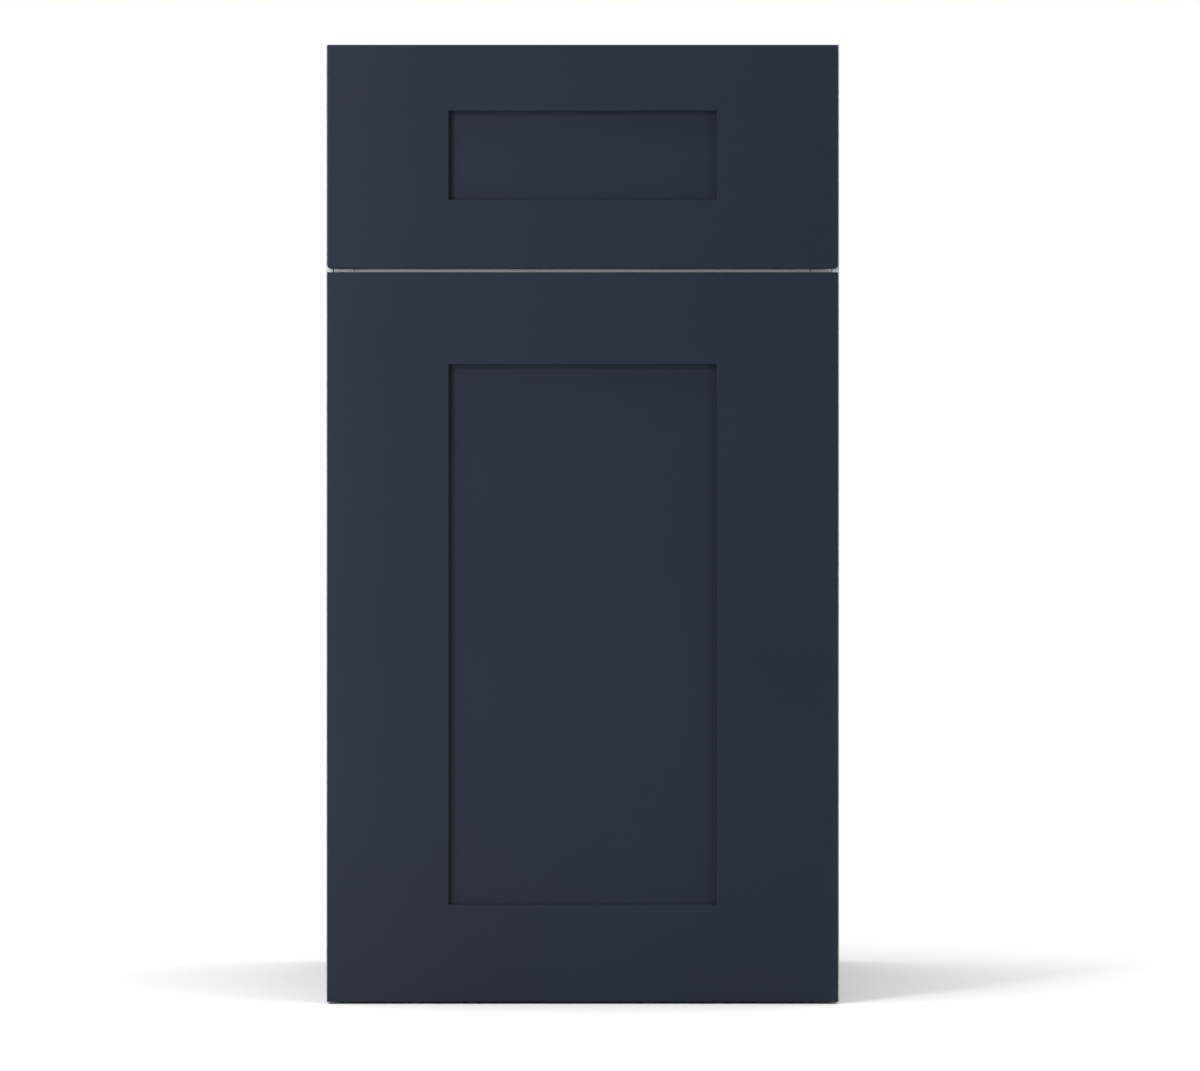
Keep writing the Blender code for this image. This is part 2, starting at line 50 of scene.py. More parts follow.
# Carcass boards.
# Melamine-faced particle board cut to size, the front edges closed with a 0.8 mm ABS band
# and the other edges left raw. The saw leaves square arrises that are broken with a file.

BOARD_ARRIS = 0.35 * MM
SHORT_BOARD_EDGE = 10 * MM
SHORT_EDGE_SHARE = 0.3
BAND_DEPTH = 1 * MM
BAND_WHITE = "EDEFF2"
MELAMINE_WHITE = "EAE9E5"
CHIP_DARK = "8F6F4A"
CHIP_LIGHT = "CDB28A"


def linear(code):
    channels = []
    for start in (0, 2, 4):
        value = int(code[start:start + 2], 16) / 255
        channels.append(value / 12.92 if value <= 0.04045 else ((value + 0.055) / 1.055) ** 2.4)
    return (*channels, 1.0)


def add(tree, kind, inputs=(), **properties):
    """Adds one node; an input given as a socket is linked, and any other value is set."""
    made = tree.nodes.new(kind)
    for name, value in properties.items():
        setattr(made, name, value)
    for key, value in dict(inputs).items():
        if isinstance(value, bpy.types.NodeSocket):
            tree.links.new(value, made.inputs[key])
        else:
            made.inputs[key].default_value = value
    return made


def start_material(name):
    """A material with its Principled shader, and the surface point in millimetres."""
    made = bpy.data.materials.new(name)
    made.use_nodes = True
    tree = made.node_tree
    place = add(tree, "ShaderNodeTexCoord").outputs["Object"]
    point = add(tree, "ShaderNodeVectorMath", {0: place, 1: (1000.0,) * 3}, operation="MULTIPLY")
    return made, tree, tree.nodes["Principled BSDF"], point.outputs[0]


def pattern(tree, point, size, stretch=(1, 1, 1), detail=3.0, rough=0.5):
    """Noise whose features are size millimetres across, drawn out by stretch along each axis."""
    drawn = tuple(1.0 / (size * part) for part in stretch)
    scaled = add(tree, "ShaderNodeVectorMath", {0: point, 1: drawn}, operation="MULTIPLY")
    inputs = {"Vector": scaled.outputs[0], "Scale": 1.0, "Detail": detail, "Roughness": rough}
    return add(tree, "ShaderNodeTexNoise", inputs).outputs["Fac"]


def spread(tree, value, low, high, lowest=0.0, highest=1.0):
    inputs = {0: value, 1: low, 2: high, 3: lowest, 4: highest}
    return add(tree, "ShaderNodeMapRange", inputs).outputs[0]


def blend_colours(tree, amount, first, second):
    ends = {0: amount}
    for slot, colour in ((6, first), (7, second)):
        ends[slot] = linear(colour) if isinstance(colour, str) else colour
    return add(tree, "ShaderNodeMix", ends, data_type="RGBA").outputs[2]


def paint(tree, shader, **inputs):
    """Sets or links the shader's inputs; an underscore stands for a space."""
    for name, value in inputs.items():
        socket = shader.inputs[name.replace("_", " ")]
        if isinstance(value, bpy.types.NodeSocket):
            tree.links.new(value, socket)
        else:
            socket.default_value = value


def relief(tree, height, depth):
    """A bump whose full height is depth millimetres."""
    inputs = {"Height": height, "Distance": depth * MM, "Strength": 1.0}
    return add(tree, "ShaderNodeBump", inputs).outputs["Normal"]


def melamine():
    # Resin-soaked paper pressed on board with a fine pearl plate: an even white, faintly pebbled.
    made, tree, shader, point = start_material("white melamine, pearl texture")
    cloud = pattern(tree, point, 60.0, detail=2.0)
    pearl = pattern(tree, point, 0.9, detail=2.0)
    colour = blend_colours(tree, spread(tree, cloud, 0.3, 0.7), "E6E5E1", MELAMINE_WHITE)
    gloss = spread(tree, pearl, 0.3, 0.7, 0.38, 0.52)
    paint(tree, shader, Base_Color=colour, Roughness=gloss, Normal=relief(tree, pearl, 0.03))
    return made


def edge_band():
    # Extruded ABS tape, glued on hot and trimmed: smoother and a shade whiter than the faces.
    made, tree, shader, point = start_material("white ABS edge band")
    draw = pattern(tree, point, 1.2, (1, 1, 30), detail=2.0)
    colour = blend_colours(tree, spread(tree, draw, 0.3, 0.7), "E8EAED", BAND_WHITE)
    paint(tree, shader, Base_Color=colour, Roughness=spread(tree, draw, 0.3, 0.7, 0.28, 0.36))
    paint(tree, shader, Normal=relief(tree, draw, 0.02))
    return made


def particle_core():
    # Sawn edge of particle board: flat chips and pits, coarse in the middle, resin dark between.
    made, tree, shader, point = start_material("raw particle board edge")
    scaled = add(tree, "ShaderNodeVectorMath", {0: point, 1: (0.55, 0.4, 0.55)}, operation="MULTIPLY")
    chips = add(tree, "ShaderNodeTexVoronoi", {"Vector": scaled.outputs[0], "Scale": 1.0})
    shade = add(tree, "ShaderNodeSeparateColor", {0: chips.outputs["Color"]}).outputs[0]
    dust = pattern(tree, point, 0.7)
    tone = add(tree, "ShaderNodeMath", {0: shade, 1: dust}, operation="MULTIPLY").outputs[0]
    colour = blend_colours(tree, spread(tree, tone, 0.05, 0.5), CHIP_DARK, CHIP_LIGHT)
    paint(tree, shader, Base_Color=colour, Roughness=0.9, Normal=relief(tree, tone, 0.5))
    return made


def settle(maker, name, body, slot, *nodes):
    """Turns a finished maker object into a plain mesh that rides on a body."""
    graph = bpy.context.evaluated_depsgraph_get()
    mesh = bpy.data.meshes.new_from_object(maker.evaluated_get(graph))
    mesh.name = name
    made = bpy.data.objects.new(name, mesh)
    bpy.context.scene.collection.objects.link(made)
    bpy.data.objects.remove(maker, do_unlink=True)
    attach(made, body)
    if nodes:
        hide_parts(*nodes)
    return made


def eased(node, width, body, slot, materials, choose=None, weigh=None, segments=2, nudge=None):
    """A copy of a CAD node with its arrises eased, which stands for the node.

    choose(normal, centre) gives a face's material index, weigh(edge) an arris's share of width,
    and nudge(place) may shift a corner.
    """
    mesh = bmesh.new()
    mesh.from_mesh(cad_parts[node].data)
    if nudge:
        for vertex in mesh.verts:
            nudge(vertex.co)
    bmesh.ops.remove_doubles(mesh, verts=mesh.verts, dist=1e-6)
    bmesh.ops.dissolve_limit(mesh, angle_limit=0.01, verts=mesh.verts, edges=mesh.edges)
    bmesh.ops.recalc_face_normals(mesh, faces=mesh.faces)
    layer = mesh.edges.layers.float.new("bevel_weight_edge")
    for edge in mesh.edges:
        sharp = edge.is_manifold and edge.calc_face_angle() > 0.5
        share = (weigh(edge) if weigh else 1.0) if sharp else 0.0
        edge[layer] = share
        edge.smooth = not sharp or share > 0.0
    for face in mesh.faces:
        face.smooth = True
        face.material_index = choose(face.normal, face.calc_center_median()) if choose else 0
    data = bpy.data.meshes.new(node)
    mesh.to_mesh(data)
    mesh.free()
    for material in materials:
        data.materials.append(material)
    maker = bpy.data.objects.new("maker", data)
    bpy.context.scene.collection.objects.link(maker)
    bevel = maker.modifiers.new("arris", "BEVEL")
    bevel.limit_method = "WEIGHT"
    bevel.width = width
    bevel.segments = segments
    maker.modifiers.new("shade", "WEIGHTED_NORMAL").keep_sharp = True
    return settle(maker, f"{node}_finished", body, slot, node)


MELAMINE = melamine()
EDGE_BAND = edge_band()
PARTICLE_CORE = particle_core()


def carcass_board(node, thin):
    """thin is the axis across the board; only the front edge is banded."""
    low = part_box(node)[0]

    def choose(normal, centre):
        if abs(normal[thin]) > 0.7:
            return 0
        return 1 if normal.y < -0.7 and centre.y < low[1] + BAND_DEPTH else 2

    def weigh(edge):
        return 1.0 if edge.calc_length() > SHORT_BOARD_EDGE else SHORT_EDGE_SHARE

    return eased(node, BOARD_ARRIS, "carcass", "white_board", [MELAMINE, EDGE_BAND, PARTICLE_CORE],
                 choose, weigh, 1)


for side in ("left", "right"):
    carcass_board(f"side_panel_{side}", 0)
for node in ("bottom_panel", "top_stretcher_front", "top_stretcher_rear", "mid_stretcher", "shelf"):
    carcass_board(node, 2)
for node in ("hanging_rail_upper", "hanging_rail_lower"):
    carcass_board(node, 1)


# Back panel.
# Thin hardboard, white lacquered on the inside and bare brown fibre behind, slid into a rebate
# round the sides and pinned along its edges with small flat-headed nails.

BACK_ARRIS = 0.2 * MM
NAIL_HEAD = 5.0 * MM
NAIL_CROWN = 1.9 * MM
NAIL_THICKNESS = 0.7 * MM
NAIL_PITCH = 82.0 * MM
NAIL_INSET = 5.0 * MM


def hardboard_back():
    # Wet-pressed fibre sheet: warm brown, mottled, with the faint net of the press screen.
    made, tree, shader, point = start_material("bare hardboard")
    fibre = pattern(tree, point, 2.2, (4, 1, 1), detail=5.0, rough=0.7)
    cloud = pattern(tree, point, 70.0, detail=2.0)
    base = blend_colours(tree, spread(tree, fibre, 0.25, 0.75), "7B5B3D", "A07E58")
    colour = blend_colours(tree, spread(tree, cloud, 0.3, 0.7), base, "8B6A48")
    net = add(tree, "ShaderNodeTexWave", {"Vector": point, "Scale": 0.35, "Distortion": 0.6},
              wave_type="BANDS", bands_direction="Z").outputs["Fac"]
    height = add(tree, "ShaderNodeMath", {0: fibre, 1: net}, operation="ADD").outputs[0]
    paint(tree, shader, Base_Color=colour, Roughness=0.75, Normal=relief(tree, height, 0.12))
    return made


eased("back_panel", BACK_ARRIS, "carcass", "white_board", [MELAMINE, hardboard_back()],
      lambda normal, centre: 0 if normal.y < -0.5 else 1)


def zinc_plate():
    # Bright zinc on cold-rolled strip: cool grey with a fine spangle and drawing lines.
    made, tree, shader, point = start_material("zinc plated steel strip")
    spangle = pattern(tree, point, 3.5, detail=4.0, rough=0.6)
    lines = pattern(tree, point, 0.5, (1, 60, 1), detail=2.0)
    colour = blend_colours(tree, spread(tree, spangle, 0.3, 0.7), "A9AEB3", "C6CACD")
    gloss = spread(tree, lines, 0.3, 0.7, 0.27, 0.42)
    paint(tree, shader, Base_Color=colour, Metallic=1.0, Roughness=gloss)
    paint(tree, shader, Normal=relief(tree, lines, 0.015))
    return made


ZINC = zinc_plate()


def start_geometry(name, sizes):
    """A Geometry Nodes tree with a mesh in, a mesh out and named number inputs."""
    tree = bpy.data.node_groups.new(name, "GeometryNodeTree")
    tree.interface.new_socket("Geometry", in_out="INPUT", socket_type="NodeSocketGeometry")
    tree.interface.new_socket("Geometry", in_out="OUTPUT", socket_type="NodeSocketGeometry")
    for label, kind in sizes.items():
        tree.interface.new_socket(label, in_out="INPUT", socket_type=f"NodeSocket{kind}")
    return tree, add(tree, "NodeGroupInput").outputs


def end_geometry(tree, geometry):
    """Realizes the instances and gives them the tree's material."""
    real = add(tree, "GeometryNodeRealizeInstances", {0: geometry}).outputs[0]
    material = next(n for n in tree.nodes if n.bl_idname == "NodeGroupInput").outputs["Material"]
    coated = add(tree, "GeometryNodeSetMaterial", {"Geometry": real, "Material": material})
    add(tree, "NodeGroupOutput", {0: coated.outputs[0]})


def grow(tree, name, body, slot, points=(), ways=(), **sizes):
    """Runs a tree on loose points, each with the way it faces, and keeps the mesh it makes."""
    data = bpy.data.meshes.new(name)
    data.from_pydata([Vector(point) for point in points], [], [])
    facing = data.attributes.new("way", "FLOAT_VECTOR", "POINT")
    for index, way in enumerate(ways):
        facing.data[index].vector = way
    maker = bpy.data.objects.new("maker", data)
    bpy.context.scene.collection.objects.link(maker)
    modifier = maker.modifiers.new("grow", "NODES")
    modifier.node_group = tree
    for item in tree.interface.items_tree:
        key = item.name.lower().replace(" ", "_")
        if item.in_out == "INPUT" and key in sizes:
            modifier[item.identifier] = sizes[key]
    return settle(maker, name, body, slot)


def nail_row_tree():
    """Flat nail heads at an even pitch round an upright rectangle that faces +Y."""
    sizes = {"Width": "Float", "Height": "Float", "Pitch": "Float", "Head": "Float",
             "Centre": "Vector", "Material": "Material"}
    tree, given = start_geometry("pinned edge", sizes)
    outline = {"Width": given["Width"], "Height": given["Height"]}
    loop = add(tree, "GeometryNodeCurvePrimitiveQuadrilateral", outline).outputs[0]
    stations = add(tree, "GeometryNodeResampleCurve", {"Curve": loop, "Length": given["Pitch"]},
                   mode="LENGTH")
    radius = add(tree, "ShaderNodeMath", {0: given["Head"], 1: 0.5}, operation="MULTIPLY").outputs[0]
    head = add(tree, "GeometryNodeMeshCone", {
        "Vertices": 14, "Radius Top": NAIL_CROWN, "Radius Bottom": radius,
        "Depth": NAIL_THICKNESS})
    nails = add(tree, "GeometryNodeInstanceOnPoints", {
        "Points": stations.outputs[0], "Instance": head.outputs["Mesh"]}).outputs[0]
    turned = add(tree, "GeometryNodeTransform", {
        "Geometry": nails, "Rotation": (-math.pi / 2, 0, 0), "Translation": given["Centre"]})
    end_geometry(tree, turned.outputs[0])
    return tree


back_low, back_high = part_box("back_panel")
grow(
    nail_row_tree(), "back_panel_nails", "carcass", "zinc_plate",
    width=back_high[0] - back_low[0] - 2 * NAIL_INSET,
    height=back_high[2] - back_low[2] - 2 * NAIL_INSET,
    pitch=NAIL_PITCH, head=NAIL_HEAD, material=ZINC,
    centre=(0, back_high[1], (back_low[2] + back_high[2]) / 2),
)


# Finished ends.
# Fibreboard skins glued to the outside of the box so that either side can stand in view: the
# outer face is sprayed the colour of the fronts, and the front edge stays in its white primer.

SKIN_ARRIS = 0.4 * MM
NAVY_DEEP = "212837"
NAVY_LIFT = "232A3A"


def navy_paint():
    # Two coats of satin polyurethane over a filled and sanded ground: an even, deep slate blue
    # with no grain left, a fine orange peel from the gun and a soft sheen in raking light.
    made, tree, shader, point = start_material("navy satin lacquer")
    drift = pattern(tree, point, 160.0, detail=2.0)
    peel = pattern(tree, point, 1.1, detail=1.0)
    dust = pattern(tree, point, 0.35, detail=1.0)
    colour = blend_colours(tree, spread(tree, drift, 0.3, 0.7), NAVY_DEEP, NAVY_LIFT)
    gloss = spread(tree, dust, 0.3, 0.7, 0.3, 0.36)
    paint(tree, shader, Base_Color=colour, Roughness=gloss, Specular_IOR_Level=0.25)
    paint(tree, shader, Normal=relief(tree, peel, 0.007))
    return made


def white_primer():
    # Thin acrylic primer on a sawn fibreboard edge: chalky, dry and a little furred.
    made, tree, shader, point = start_material("white primer on fibreboard")
    fur = pattern(tree, point, 0.6, (1, 1, 8), detail=3.0)
    colour = blend_colours(tree, spread(tree, fur, 0.3, 0.7), "DEE0E3", "E9EBED")
    paint(tree, shader, Base_Color=colour, Roughness=0.7, Normal=relief(tree, fur, 0.05))
    return made


NAVY = navy_paint()
PRIMER = white_primer()

for side in ("left", "right"):
    eased(f"finished_end_{side}", SKIN_ARRIS, "carcass", "navy_paint", [NAVY, PRIMER],
          lambda normal, centre: 1 if normal.y < -0.7 else 0)


# Fronts.
# Two painted frames with a flat panel floating in their grooves: uprights run full height, and
# the rails sit between them on stub tongues, glued and sanded flush before spraying.

FRONT_ARRIS = 0.9 * MM
FILLED_JOINT = 0.05 * MM
RIM = 3.5 * MM
ON_FACE = 0.01 * MM


def front_member(node, body):
    """Only the outline of a whole front is eased; where its members meet they stay sharp."""
    prefix = "door" if node.startswith("door") else "drawer_front"
    low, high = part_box(f"{prefix}_stile_left")
    shoulder = abs(high[0])

    def close_joint(place):
        # Filler brings each rail's shoulders hard against the uprights.
        if "rail" in node and abs(abs(place.x) - shoulder) < 2 * FILLED_JOINT:
            place.x = math.copysign(shoulder, place.x)

    def weigh(edge):
        first, second = (vertex.co for vertex in edge.verts)
        middle = (first + second) / 2
        at_side = abs(middle.x) > abs(low[0]) - RIM
        at_end = middle.z < low[2] + RIM or middle.z > high[2] - RIM
        on_face = any(
            max(abs(first.y - face), abs(second.y - face)) < ON_FACE for face in (low[1], high[1]))
        corner = at_side and at_end
        return 1.0 if corner or (on_face and (at_side or at_end)) else 0.0

    return eased(node, FRONT_ARRIS, body, "navy_paint", [NAVY], None, weigh, 3, close_joint)


for prefix, body in (("door", "door"), ("drawer_front", "drawer")):
    for part in ("stile_left", "stile_right", "rail_top", "rail_bottom", "panel"):
        front_member(f"{prefix}_{part}", body)


# Bumpers.
# Clear polyurethane domes stuck to the back of the fronts where they meet the cabinet's edge.
# They soften the closing, and nearly fill the gap that the hinge needs to turn.

BUMPER_RADIUS = 4.2 * MM
BUMPER_HEIGHT = 2.7 * MM
BUMPER_X = 187.5 * MM
DOOR_BUMPER_INSET = 25 * MM
DRAWER_BUMPER_INSET = 14 * MM


def clear_urethane():
    # Cast in drops on a sheet: glass clear with a soft skin, and slightly yellowed by age.
    made, tree, shader, point = start_material("clear cast polyurethane")
    haze = pattern(tree, point, 0.8, detail=2.0)
    colour = blend_colours(tree, haze, "EDEBDD", "F7F6F0")
    paint(tree, shader, Base_Color=colour, Roughness=spread(tree, haze, 0.3, 0.7, 0.08, 0.16))
    paint(tree, shader, Transmission_Weight=0.85, IOR=1.49)
    return made


def dome_tree():
    """Low domes on points, each facing its own way."""
    sizes = {"Radius": "Float", "Height": "Float", "Material": "Material"}
    tree, given = start_geometry("stuck on domes", sizes)
    ball = add(tree, "GeometryNodeMeshUVSphere", {"Segments": 24, "Rings": 16, "Radius": 1.0})
    size = add(tree, "ShaderNodeCombineXYZ", {
        0: given["Radius"], 1: given["Radius"], 2: given["Height"]}).outputs[0]
    shaped = add(tree, "GeometryNodeTransform", {"Geometry": ball.outputs["Mesh"], "Scale": size})
    place = add(tree, "GeometryNodeInputPosition").outputs[0]
    parts = add(tree, "ShaderNodeSeparateXYZ", {0: place}).outputs
    raised = add(tree, "ShaderNodeMath", {0: parts[2], 1: 0.0}, operation="MAXIMUM").outputs[0]
    flat = add(tree, "ShaderNodeCombineXYZ", {0: parts[0], 1: parts[1], 2: raised}).outputs[0]
    dome = add(tree, "GeometryNodeSetPosition", {
        "Geometry": shaped.outputs[0], "Position": flat}).outputs[0]
    smooth = add(tree, "GeometryNodeSetShadeSmooth", {0: dome}).outputs[0]
    way = add(tree, "GeometryNodeInputNamedAttribute", {"Name": "way"}, data_type="FLOAT_VECTOR")
    turn = add(tree, "FunctionNodeAlignRotationToVector", {"Vector": way.outputs[0]}, axis="Z")
    placed = add(tree, "GeometryNodeInstanceOnPoints", {
        "Points": given["Geometry"], "Instance": smooth, "Rotation": turn.outputs[0]})
    end_geometry(tree, placed.outputs[0])
    return tree


domes = dome_tree()
urethane = clear_urethane()
door_low, door_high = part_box("door_stile_right")
drawer_low, drawer_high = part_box("drawer_front_stile_right")
back_of_fronts = door_high[1]
door_spots = []
for height in (door_low[2] + DOOR_BUMPER_INSET, door_high[2] - DOOR_BUMPER_INSET):
    door_spots.append((BUMPER_X, back_of_fronts, height))
drawer_spots = []
for sign in (-1, 1):
    for height in (drawer_low[2] + DRAWER_BUMPER_INSET, drawer_high[2] - DRAWER_BUMPER_INSET):
        drawer_spots.append((sign * BUMPER_X, back_of_fronts, height))
for body, spots in (("door", door_spots), ("drawer", drawer_spots)):
    grow(domes, f"{body}_bumpers", body, "grey_acetal", spots, [(0, 1, 0)] * len(spots),
         radius=BUMPER_RADIUS, height=BUMPER_HEIGHT, material=urethane)


# Drawer box.
# Planed birch boards joined with through dovetails, a plywood bottom held in a groove, and the
# whole box dipped in clear lacquer.

BOX_ARRIS = 1.0 * MM
PLYWOOD_ARRIS = 0.3 * MM
DOVETAIL_EDGE = 40 * MM
DOVETAIL_SHARE = 0.12
BIRCH_PALE = "E0C89C"
BIRCH_WARM = "CBA873"


def birch(name, along):
    # Fine close grain: pale sapwood with warm growth lines, brown flecks and a satin lacquer.
    made, tree, shader, point = start_material(name)
    stretch = [1.0, 1.0, 1.0]
    stretch[along] = 22.0
    figure = pattern(tree, point, 7.0, stretch, detail=5.0, rough=0.6)
    pores = pattern(tree, point, 0.8, [part * 1.6 for part in stretch], detail=2.0)
    rings = spread(tree, figure, 0.3, 0.7)
    base = blend_colours(tree, rings, BIRCH_WARM, BIRCH_PALE)
    fleck = spread(tree, pores, 0.6, 0.8, 0.0, 0.6)
    colour = blend_colours(tree, fleck, base, "BC9763")
    gloss = spread(tree, pores, 0.3, 0.7, 0.34, 0.46)
    paint(tree, shader, Base_Color=colour, Roughness=gloss, Normal=relief(tree, pores, 0.03))
    return made


def birch_end():
    # Cut across the fibres: the lacquer soaks in, so it is darker and shows close ring lines.
    made, tree, shader, point = start_material("birch end grain, lacquered")
    bend = pattern(tree, point, 30.0, detail=2.0)
    height = add(tree, "ShaderNodeSeparateXYZ", {0: point}).outputs[2]
    bent = add(tree, "ShaderNodeMath", {0: bend, 1: 22.0, 2: height}, operation="MULTIPLY_ADD")
    phase = add(tree, "ShaderNodeMath", {0: bent.outputs[0], 1: 2.6}, operation="MULTIPLY").outputs[0]
    rings = add(tree, "ShaderNodeMath", {0: phase}, operation="SINE").outputs[0]
    specks = pattern(tree, point, 0.35, detail=2.0)
    base = blend_colours(tree, spread(tree, rings, -1.0, 1.0), "A67F4E", "BF9B68")
    colour = blend_colours(tree, spread(tree, specks, 0.55, 0.75), base, "86633A")
    paint(tree, shader, Base_Color=colour, Roughness=0.5, Normal=relief(tree, specks, 0.04))
    return made


BIRCH_BY_AXIS = {axis: birch(f"birch, grain along {'XYZ'[axis]}", axis) for axis in (0, 1)}
BIRCH_END = birch_end()


def box_board(node, along, arris):
    """along is the axis of the grain; the dovetails' short edges stay nearly sharp."""
    return eased(node, arris, "drawer", "birch", [BIRCH_BY_AXIS[along], BIRCH_END],
                 lambda normal, centre: 1 if abs(normal[along]) > 0.7 else 0,
                 lambda edge: 1.0 if edge.calc_length() > DOVETAIL_EDGE else DOVETAIL_SHARE)


box_board("drawer_side_left", 1, BOX_ARRIS)
box_board("drawer_side_right", 1, BOX_ARRIS)
box_board("drawer_box_front", 0, BOX_ARRIS)
box_board("drawer_box_back", 0, BOX_ARRIS)
box_board("drawer_bottom", 0, PLYWOOD_ARRIS)


# Undermount slides.
# Roll-formed zinc-plated rails, three to a side, with caged nylon rollers between them. The cage
# plates are acetal, and each roller turns on the rails above and below it.

CARRIAGE_ARRIS = 0.3 * MM
ROLLER_LENGTH = 7.5 * MM
ROLLER_PITCH = 12.5 * MM
ROLLER_RADII = {"lower": 2.1 * MM, "upper": 1.6 * MM}
ROW_START = 12 * MM
ROW_ENDS = 16 * MM
LOWER_AXLE_DROP = 1.8 * MM

for side in ("left", "right"):
    for member in ("cabinet", "middle", "drawer"):
        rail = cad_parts[f"slide_{member}_member_{side}"]
        rail.data.materials.clear()
        rail.data.materials.append(ZINC)


def moulded_acetal(name, dark, light):
    # Injection moulded acetal: waxy and slightly mottled, with a fine spark-eroded texture.
    made, tree, shader, point = start_material(name)
    grit = pattern(tree, point, 0.5, detail=2.0)
    flow = pattern(tree, point, 14.0, detail=2.0)
    colour = blend_colours(tree, spread(tree, flow, 0.3, 0.7), dark, light)
    paint(tree, shader, Base_Color=colour, Roughness=spread(tree, grit, 0.3, 0.7, 0.42, 0.55))
    paint(tree, shader, Normal=relief(tree, grit, 0.02))
    return made


GREY_ACETAL = moulded_acetal("grey moulded acetal", "66696C", "72767A")
WHITE_NYLON = moulded_acetal("white nylon roller", "D9D8D2", "E6E5DF")


def roller_row_tree():
    """Rollers whose axles lie along X, in a row along Y from a start point."""
    sizes = {"Count": "Int", "Pitch": "Float", "Radius": "Float", "Length": "Float",
             "Start": "Vector", "Material": "Material"}
    tree, given = start_geometry("caged rollers", sizes)
    step = add(tree, "ShaderNodeCombineXYZ", {1: given["Pitch"]}).outputs[0]
    row = add(tree, "GeometryNodeMeshLine", {
        "Count": given["Count"], "Start Location": given["Start"], "Offset": step}).outputs[0]
    roller = add(tree, "GeometryNodeMeshCylinder", {
        "Vertices": 20, "Radius": given["Radius"], "Depth": given["Length"]}).outputs["Mesh"]
    placed = add(tree, "GeometryNodeInstanceOnPoints", {
        "Points": row, "Instance": roller, "Rotation": (0, math.pi / 2, 0)}).outputs[0]
    end_geometry(tree, placed)
    return tree


rollers = roller_row_tree()
for side in ("left", "right"):
    for level, radius in ROLLER_RADII.items():
        node = f"roller_carriage_{level}_{side}"
        body = f"carriage_{level}_{side}"
        eased(node, CARRIAGE_ARRIS, body, "grey_acetal", [GREY_ACETAL])
        low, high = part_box(node)
        middle = (low[0] + high[0]) / 2
        axle = high[2] - LOWER_AXLE_DROP if level == "lower" else (low[2] + high[2]) / 2
        count = int((high[1] - low[1] - ROW_ENDS) / ROLLER_PITCH)
        grow(rollers, f"rollers_{level}_{side}", body, "grey_acetal",
             count=count, pitch=ROLLER_PITCH, radius=radius, length=ROLLER_LENGTH,
             start=(middle, low[1] + ROW_START, axle), material=WHITE_NYLON)


# Locking devices.
# A grey body screwed under the drawer grips the slide, and its orange lever lets go. The colour
# marks what a hand should reach for in the shade under the drawer.

LOCK_ARRIS = 0.5 * MM
LEVER_ARRIS = 0.4 * MM
ORANGE_ACETAL = moulded_acetal("orange moulded acetal", "A85420", "B9602A")
for side in ("left", "right"):
    eased(f"lock_body_{side}", LOCK_ARRIS, "drawer", "grey_acetal", [GREY_ACETAL])
    eased(f"lock_lever_{side}", LEVER_ARRIS, f"lever_{side}", "orange_acetal", [ORANGE_ACETAL])


# Hinges.
# Stamped steel, nickel plated: a plate screwed to the side, an arm clipped over it, and a cup
# pressed into a bore in the door, with the pivot pin across it and a spring coiled on the pin.


def nickel_plate():
    # Bright nickel over pressed steel: warm silver, lightly rippled by the press tool.
    made, tree, shader, point = start_material("nickel plated pressed steel")
    ripple = pattern(tree, point, 6.0, detail=3.0)
    smear = pattern(tree, point, 1.4, detail=3.0)
    colour = blend_colours(tree, spread(tree, ripple, 0.3, 0.7), "BFBDB6", "D2D0C9")
    paint(tree, shader, Base_Color=colour, Metallic=1.0)
    paint(tree, shader, Roughness=spread(tree, smear, 0.3, 0.7, 0.16, 0.27))
    paint(tree, shader, Normal=relief(tree, ripple, 0.02))
    return made


NICKEL = nickel_plate()
PLATE_ARRIS = 0.35 * MM
ARM_ARRIS = 0.3 * MM
CUP_ARRIS = 0.25 * MM
SHORT_ARM_EDGE = 2.5 * MM
PIVOT = Vector((-193.0, -254.0)) * MM
CUP_CENTRE_X = -179.5 * MM
SPRING_RADIUS = 1.9 * MM
SPRING_WIRE = 0.35 * MM
SPRING_LENGTH = 3.2 * MM
SPRING_TURNS = 4.5
SPRING_OFFSET = 6.3 * MM


def spring_tree():
    """A close coil about an upright axis, centred on a point."""
    sizes = {"Radius": "Float", "Wire": "Float", "Length": "Float", "Turns": "Float",
             "Centre": "Vector", "Material": "Material"}
    tree, given = start_geometry("closing spring", sizes)
    coil = add(tree, "GeometryNodeCurveSpiral", {
        "Resolution": 20, "Rotations": given["Turns"], "Start Radius": given["Radius"],
        "End Radius": given["Radius"], "Height": given["Length"]}).outputs[0]
    section = add(tree, "GeometryNodeCurvePrimitiveCircle", {
        "Resolution": 8, "Radius": given["Wire"]}).outputs[0]
    wire = add(tree, "GeometryNodeCurveToMesh", {
        "Curve": coil, "Profile Curve": section, "Fill Caps": True}).outputs[0]
    half = add(tree, "ShaderNodeMath", {0: given["Length"], 1: -0.5}, operation="MULTIPLY").outputs[0]
    drop = add(tree, "ShaderNodeCombineXYZ", {2: half}).outputs[0]
    shift = add(tree, "ShaderNodeVectorMath", {0: given["Centre"], 1: drop}, operation="ADD")
    placed = add(tree, "GeometryNodeTransform", {"Geometry": wire, "Translation": shift.outputs[0]})
    end_geometry(tree, placed.outputs[0])
    return tree


